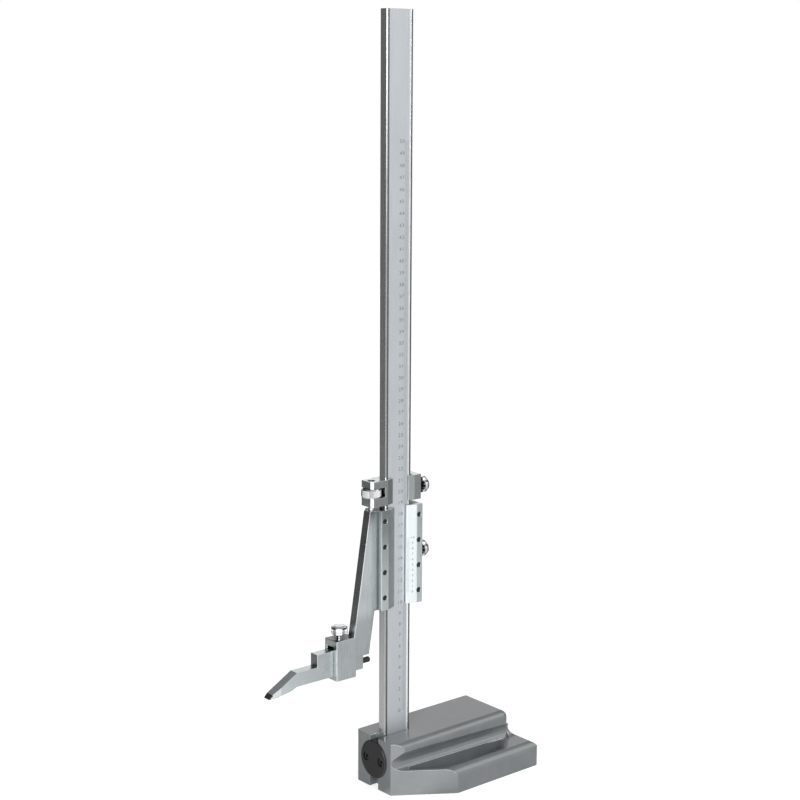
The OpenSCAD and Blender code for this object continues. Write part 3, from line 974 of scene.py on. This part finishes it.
@dataclass
class EngravedFace:
    """Flat face that takes graduations: local x runs along it to the right, and local y upwards.

    Attributes:
        depth: how far lines and digits stand out of the face, as inked ones are shown.
        cap_share: height of a digit against the size of its letter.
        digit_slim: width of the digits against the plain letter's.
        digit_gap: spacing of the digits against the plain letter's.
        curve_steps: how finely the digits' curves are cut.
    """

    origin: Vector
    right: Vector
    up: Vector = field(default_factory=lambda: Vector((0.0, 0.0, 1.0)))
    depth: float = 0.012 * MM
    cap_share: float = 0.69
    digit_slim: float = 1.15
    digit_gap: float = 1.15
    curve_steps: int = 3
    mesh: bmesh.types.BMesh = field(default_factory=bmesh.new)

    def place(self, x: float, y: float) -> Matrix:
        """Works out where a shape goes on the face.

        Args:
            x: local x of the shape's origin.
            y: local height of its origin.

        Returns:
            The transform that puts it there.
        """
        out = self.right.cross(self.up)
        turn = Matrix((self.right, self.up, out)).transposed().to_4x4()
        return Matrix.Translation(self.origin + self.right * x + self.up * y) @ turn

    def line(self, start: float, end: float, y: float, width: float) -> None:
        """Cuts a level line.

        Args:
            start: local x of its left end.
            end: local x of its right end.
            y: local height of its middle.
            width: its width.
        """
        size = Matrix.Diagonal((end - start, width, 2 * self.depth, 1.0))
        place = self.place((start + end) / 2, y)
        bmesh.ops.create_cube(self.mesh, size=1.0, matrix=place @ size)

    def number(self, text: str, x: float, y: float, height: float) -> None:
        """Stamps a number, centred on a point.

        Args:
            text: the digits.
            x: local x of its middle.
            y: local height of its middle.
            height: height of the digits.
        """
        curve = bpy.data.curves.new("digits", "FONT")
        curve.body = text
        curve.size = height / self.cap_share
        curve.align_x = "CENTER"
        curve.space_character = self.digit_gap
        curve.resolution_u = self.curve_steps
        curve.extrude = self.depth
        holder = bpy.data.objects.new("digits", curve)
        shape = bpy.data.meshes.new_from_object(holder)
        slim = Matrix.Diagonal((self.digit_slim, 1.0, 1.0, 1.0))
        shape.transform(self.place(x, y - height / 2) @ slim)
        self.mesh.from_mesh(shape)
        bpy.data.objects.remove(holder)
        bpy.data.curves.remove(curve)
        bpy.data.meshes.remove(shape)


# Sub-assemblies.


@dataclass
class Stand:
    """Base casting with its column clamp, and the graduated beam.

    Attributes:
        land_height: how far the scale is sunk below the beam's raised edges.
        zero_height: height of the scale's zero above the surface plate.
        numbered: how many graduations go to a number.
        line_end: where every line ends, along X from the beam's left side.
    """

    finishes: FinishCard
    land_height: float = 0.4 * MM
    zero_height: float = 67.5 * MM
    division: float = 1.0 * MM
    divisions: int = 500
    numbered: int = 10
    line_end: float = 24.4 * MM
    short_start: float = 20.2 * MM
    middle_start: float = 19.4 * MM
    long_start: float = 18.9 * MM
    line_width: float = 0.14 * MM
    number_x: float = 16.9 * MM
    number_height: float = 3.1 * MM

    def graduate(self) -> None:
        """Cuts the millimetre scale and its centimetre numbers into the beam's front."""
        low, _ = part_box("beam")
        corner = Vector((low.x, low.y + self.land_height, 0.0))
        face = EngravedFace(corner, Vector((1.0, 0.0, 0.0)))
        for index in range(self.divisions + 1):
            start = graduation(index, self.short_start, self.middle_start, self.long_start)
            height = self.zero_height + index * self.division
            face.line(start, self.line_end, height, self.line_width)
        piece_from(face.mesh, "beam_graduations", self.finishes.ink, Body.STAND)
        stamps = EngravedFace(face.origin, face.right)
        for index in range(0, self.divisions + 1, self.numbered):
            height = self.zero_height + index * self.division
            stamps.number(str(index // self.numbered), self.number_x, height, self.number_height)
        piece_from(stamps.mesh, "beam_numbers", self.finishes.ink, Body.STAND)

    def build(self) -> None:
        """Dresses the base, plug and beam."""
        dress("base", self.finishes.casting)
        dress("base_plug", self.finishes.black)
        dress("plug_screws", self.finishes.black)
        dress("beam", self.finishes.beam)
        self.graduate()


@dataclass
class Carriage:
    """Fine-adjustment carriage with its nut and clamp."""

    finishes: FinishCard

    def build(self) -> None:
        """Dresses the carriage's parts."""
        dress("carriage_body", self.finishes.carriage)
        dress("carriage_gib", self.finishes.brass)
        dress("carriage_clamp_pad", self.finishes.brass)
        dress("carriage_clamp_screw", self.finishes.knobs["carriage_clamp_screw"])
        dress("knurled_nut", self.finishes.chrome)
        dress("fine_spindle", self.finishes.chrome)


@dataclass
class Slider:
    """Slider with its arm, strips and vernier plate.

    Attributes:
        edge_rise: how far the bevel's left edge lies behind the plate's front.
        zero_rise: height of the vernier's zero above the plate's foot.
        numbered: how many graduations go to a number.
        thread_root: how deep the thread's foot is set into the spindle.
        thread_half: half the width of its foot, as a share of the pitch.
        nut_travel: room left under the nut.
    """

    finishes: FinishCard
    edge_rise: float = 2.1 * MM
    bevel_width: float = 9.2 * MM
    zero_rise: float = 10.6 * MM
    divisions: int = 50
    numbered: int = 5
    division: float = 0.98 * MM
    line_start: float = 0.1 * MM
    short_line: float = 2.6 * MM
    middle_line: float = 3.4 * MM
    long_line: float = 4.2 * MM
    line_width: float = 0.12 * MM
    number_x: float = 5.8 * MM
    number_height: float = 2.0 * MM
    thread_pitch: float = 1.0 * MM
    thread_depth: float = 0.15 * MM
    thread_root: float = 0.3 * MM
    thread_half: float = 0.35
    thread_steps: int = 24
    nut_travel: float = 3.5 * MM

    def graduate(self) -> None:
        """Cuts the vernier's lines and numbers into the plate's bevel."""
        low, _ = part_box("vernier_plate")
        edge = Vector((low.x, low.y + self.edge_rise, low.z))
        along = Vector((self.bevel_width, -self.edge_rise, 0.0)).normalized()
        face = EngravedFace(edge, along)
        stamps = EngravedFace(edge, along)
        for index in range(self.divisions + 1):
            end = graduation(index, self.short_line, self.middle_line, self.long_line)
            height = self.zero_rise + index * self.division
            face.line(self.line_start, end, height, self.line_width)
            if index % self.numbered == 0:
                text = str(index // self.numbered)
                stamps.number(text, self.number_x, height, self.number_height)
        piece_from(face.mesh, "vernier_graduations", self.finishes.ink, Body.SLIDER)
        piece_from(stamps.mesh, "vernier_numbers", self.finishes.ink, Body.SLIDER)

    def thread(self) -> None:
        """Winds the fine thread round the spindle where it shows under the nut."""
        low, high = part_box("fine_spindle")
        axis = Vector(((low.x + high.x) / 2, (low.y + high.y) / 2, 0.0))
        radius = (high.x - low.x) / 2
        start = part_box("slider_body")[1].z + self.thread_pitch / 2
        turns = int((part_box("knurled_nut")[0].z - self.nut_travel - start) / self.thread_pitch)
        steps = self.thread_steps * turns
        half = self.thread_half * self.thread_pitch
        section = ((-self.thread_root, -half), (-self.thread_root, half), (self.thread_depth, 0.0))
        bm = bmesh.new()
        corners = [axis + Vector((radius + out, 0.0, start + up)) for out, up in section]
        face = bm.faces.new([bm.verts.new(corner) for corner in corners])
        bmesh.ops.spin(
            bm,
            geom=[face],
            cent=axis,
            axis=(0.0, 0.0, 1.0),
            dvec=(0.0, 0.0, turns * self.thread_pitch / steps),
            angle=2 * math.pi * turns,
            steps=steps,
            use_duplicate=False,
        )
        bmesh.ops.recalc_face_normals(bm, faces=bm.faces)
        piece_from(bm, "spindle_thread", self.finishes.chrome, Body.SLIDER)

    def build(self) -> None:
        """Dresses the slider's parts."""
        self.graduate()
        self.thread()
        dress("slider_body", self.finishes.slider)
        dress("left_strip", self.finishes.left_strip)
        dress("right_strip", self.finishes.right_strip)
        dress("vernier_plate", self.finishes.plate)
        for node in ("left_strip_screws", "right_strip_screws", "gib_screws"):
            dress(node, self.finishes.black)
        dress("slider_gib", self.finishes.brass)
        dress("slider_clamp_pad", self.finishes.brass)
        dress("slider_clamp_screw", self.finishes.knobs["slider_clamp_screw"])


@dataclass
class Scriber:
    """Scriber with its hard tip, rear pin and clamp screw."""

    finishes: FinishCard

    def build(self) -> None:
        """Dresses the scriber's parts."""
        dress("scriber", self.finishes.scriber)
        dress("scriber_tip", self.finishes.carbide)
        dress("rear_pin", self.finishes.black)
        dress("scriber_clamp_screw", self.finishes.knobs["scriber_clamp_screw"])


# Studio.


@dataclass(frozen=True)
class Lamp:
    """Square soft lamp that faces the gauge."""

    name: str
    place: tuple[float, float, float]
    size: float
    watts: float
    target: tuple[float, float, float] = (0.0, 0.0, 0.2)

    def hang(self) -> None:
        """Adds the lamp to the scene."""
        data = bpy.data.lights.new(self.name, "AREA")
        data.shape = "SQUARE"
        data.size = self.size
        data.energy = self.watts
        lamp = bpy.data.objects.new(self.name, data)
        lamp.location = self.place
        aim = Vector(self.target) - Vector(self.place)
        lamp.rotation_euler = aim.to_track_quat("-Z", "Y").to_euler()
        bpy.context.scene.collection.objects.link(lamp)


@dataclass(frozen=True)
class View:
    """Camera where the photograph was taken from, with its angles in radians."""

    lens_mm: float = 75.78
    sensor_mm: float = 36.0
    place: tuple[float, float, float] = (-0.90645, -1.07047, 0.62259)
    pitch: float = 0.1914
    turn: float = -0.7005
    roll: float = 0.00493
    reach: float = 50.0

    def set_up(self) -> None:
        """Adds the camera and makes it the scene's."""
        level = math.cos(self.pitch)
        across = Vector((math.cos(self.turn), math.sin(self.turn), 0))
        ahead = Vector((-math.sin(self.turn) * level, math.cos(self.turn) * level, -math.sin(self.pitch)))
        above = across.cross(ahead)
        right = math.cos(self.roll) * across + math.sin(self.roll) * above
        top = -math.sin(self.roll) * across + math.cos(self.roll) * above
        data = bpy.data.cameras.new("camera")
        data.lens = self.lens_mm
        data.sensor_width = self.sensor_mm
        data.clip_end = self.reach
        camera = bpy.data.objects.new("camera", data)
        axes = Matrix((right, top, -ahead)).transposed().to_4x4()
        camera.matrix_world = Matrix.Translation(self.place) @ axes
        bpy.context.scene.collection.objects.link(camera)
        bpy.context.scene.camera = camera


@dataclass(frozen=True)
class Floor:
    """Round pale floor, bright near the gauge and in front of it, and dark far behind it.

    Attributes:
        bright_reach: distance from the middle within which the floor is bright.
        dark_reach: distance beyond which it is dark, apart from the bright side.
        bright_side: azimuth of the side that stays bright all the way out.
        mirror_side: azimuth of the side that metal sees lit up.
        mirror_glow: how strongly metal sees that side.
    """

    radius: float = 4.0
    sides: int = 128
    drop: float = 0.2 * MM
    middle: tuple[float, float, float] = (0.19, -0.23, 0.0)
    bright_reach: float = 0.6
    dark_reach: float = 1.3
    pale: Opaque = (0.86, 0.86, 0.86, 1.0)
    dark: Opaque = (0.1, 0.1, 0.1, 1.0)
    bright_side: float = -60.0
    mirror_side: float = -130.0
    mirror_glow: float = 0.95

    def finish(self) -> bpy.types.Material:
        """Makes a floor that looks white to the camera, keeps the shadow and lights the metal.

        Returns:
            The new material.
        """
        s = Shader("floor_white")
        from_middle = s.moved(s.position(), self.middle)
        reach = s.add("VectorMath", operation="LENGTH")
        s.join(from_middle, reach.inputs[0])
        near = s.span(reach.outputs["Value"], self.bright_reach, self.dark_reach, 1.0, 0.0)
        front = s.span(s.along(from_middle, self.bright_side), 0.0, self.bright_reach, 0.0, 1.0)
        near = s.math("MAXIMUM", near, front)
        s.join(s.blend(near, self.dark, self.pale), s.inputs["Base Color"])
        s.inputs["Roughness"].default_value = 0.9
        s.inputs["Emission Color"].default_value = WHITE
        level = s.add("VectorMath", operation="NORMALIZE")
        s.join(s.position(), level.inputs[0])
        lit_side = s.span(s.along(level.outputs["Vector"], self.mirror_side), 0.35, 0.8, 0.0, 1.0)
        path = s.add("LightPath")
        seen = s.times(path.outputs["Is Camera Ray"], s.span(near, 0.0, 1.0, 1.0, 0.55))
        mirrored = s.times(path.outputs["Is Glossy Ray"], s.times(lit_side, self.mirror_glow))
        s.join(s.math("ADD", seen, mirrored), s.inputs["Emission Strength"])
        return s.material

    def lay(self) -> None:
        """Adds the floor to the stage."""
        bm = bmesh.new()
        bmesh.ops.create_circle(bm, cap_ends=True, segments=self.sides, radius=self.radius)
        mesh = bpy.data.meshes.new("floor")
        bm.to_mesh(mesh)
        bm.free()
        mesh.materials.append(self.finish())
        floor = bpy.data.objects.new("floor", mesh)
        floor.location.z = -self.drop
        bpy.context.scene.collection.objects.link(floor)


@dataclass(frozen=True)
class Wall:
    """Soft patch of light or dark on the room's wall.

    Attributes:
        azimuth: where its middle lies.
        start: how nearly a direction points there where the patch begins, from 0 to 1.
        full: how nearly it points there where the patch is full.
        outside: strength of the light outside the patch.
        inside: strength of the light inside it.
    """

    azimuth: float
    start: float
    full: float
    outside: float
    inside: float


@dataclass(frozen=True)
class Room:
    """Surroundings: white to the camera, and darker behind the gauge on the left for the metal."""

    walls: tuple[Wall, ...] = (
        Wall(-100.0, 0.25, 0.8, 0.0, 1.0),
        Wall(50.0, 0.72, 0.93, 0.0, 0.9),
        Wall(125.0, 0.1, 0.8, 0.22, 0.05),
    )
    sky_start: float = 0.45
    sky_full: float = 0.9
    sky: float = 0.45

    def set_up(self) -> None:
        """Makes the room the scene's world."""
        world = bpy.data.worlds.new("room")
        bpy.context.scene.world = world
        world.use_nodes = True
        n = Nodes(world.node_tree)
        direction = n.add("TexCoord").outputs["Generated"]
        _, _, height = n.parts(direction)
        light = n.span(height, self.sky_start, self.sky_full, 0.0, self.sky, smooth=True)
        for wall in self.walls:
            nearness = n.along(direction, wall.azimuth)
            patch = n.span(nearness, wall.start, wall.full, wall.outside, wall.inside, smooth=True)
            light = n.math("MAXIMUM", light, patch)
        pick = n.add("Mix", data_type="FLOAT")
        n.join(n.add("LightPath").outputs["Is Camera Ray"], pick.inputs["Factor"])
        n.join(light, pick.inputs[2])
        pick.inputs[3].default_value = 1.0
        surface = n.tree.nodes["Background"]
        n.join(pick.outputs[0], surface.inputs["Strength"])
        surface.inputs["Color"].default_value = WHITE


@dataclass(frozen=True)
class Studio:
    """Camera, floor, lamps and room."""

    lamps: tuple[Lamp, ...] = (
        Lamp("key_lamp", (-1.75, -1.47, 1.1), size=1.2, watts=34.0),
        Lamp("fill_lamp", (1.9, -1.2, 1.6), size=1.4, watts=8.0),
    )

    def build(self) -> None:
        """Sets the whole studio."""
        bpy.context.scene.view_settings.view_transform = "Standard"
        View().set_up()
        Floor().lay()
        for lamp in self.lamps:
            lamp.hang()
        Room().set_up()


def main() -> None:
    """Builds each sub-assembly, then the studio."""
    logging.basicConfig(level=logging.INFO, format="%(name)s %(message)s")
    finishes = FinishCard()
    for part in (Stand(finishes), Carriage(finishes), Slider(finishes), Scriber(finishes)):
        LOG.info("building %s", type(part).__name__)
        part.build()
    Studio().build()


if __name__ == "__main__":
    main()
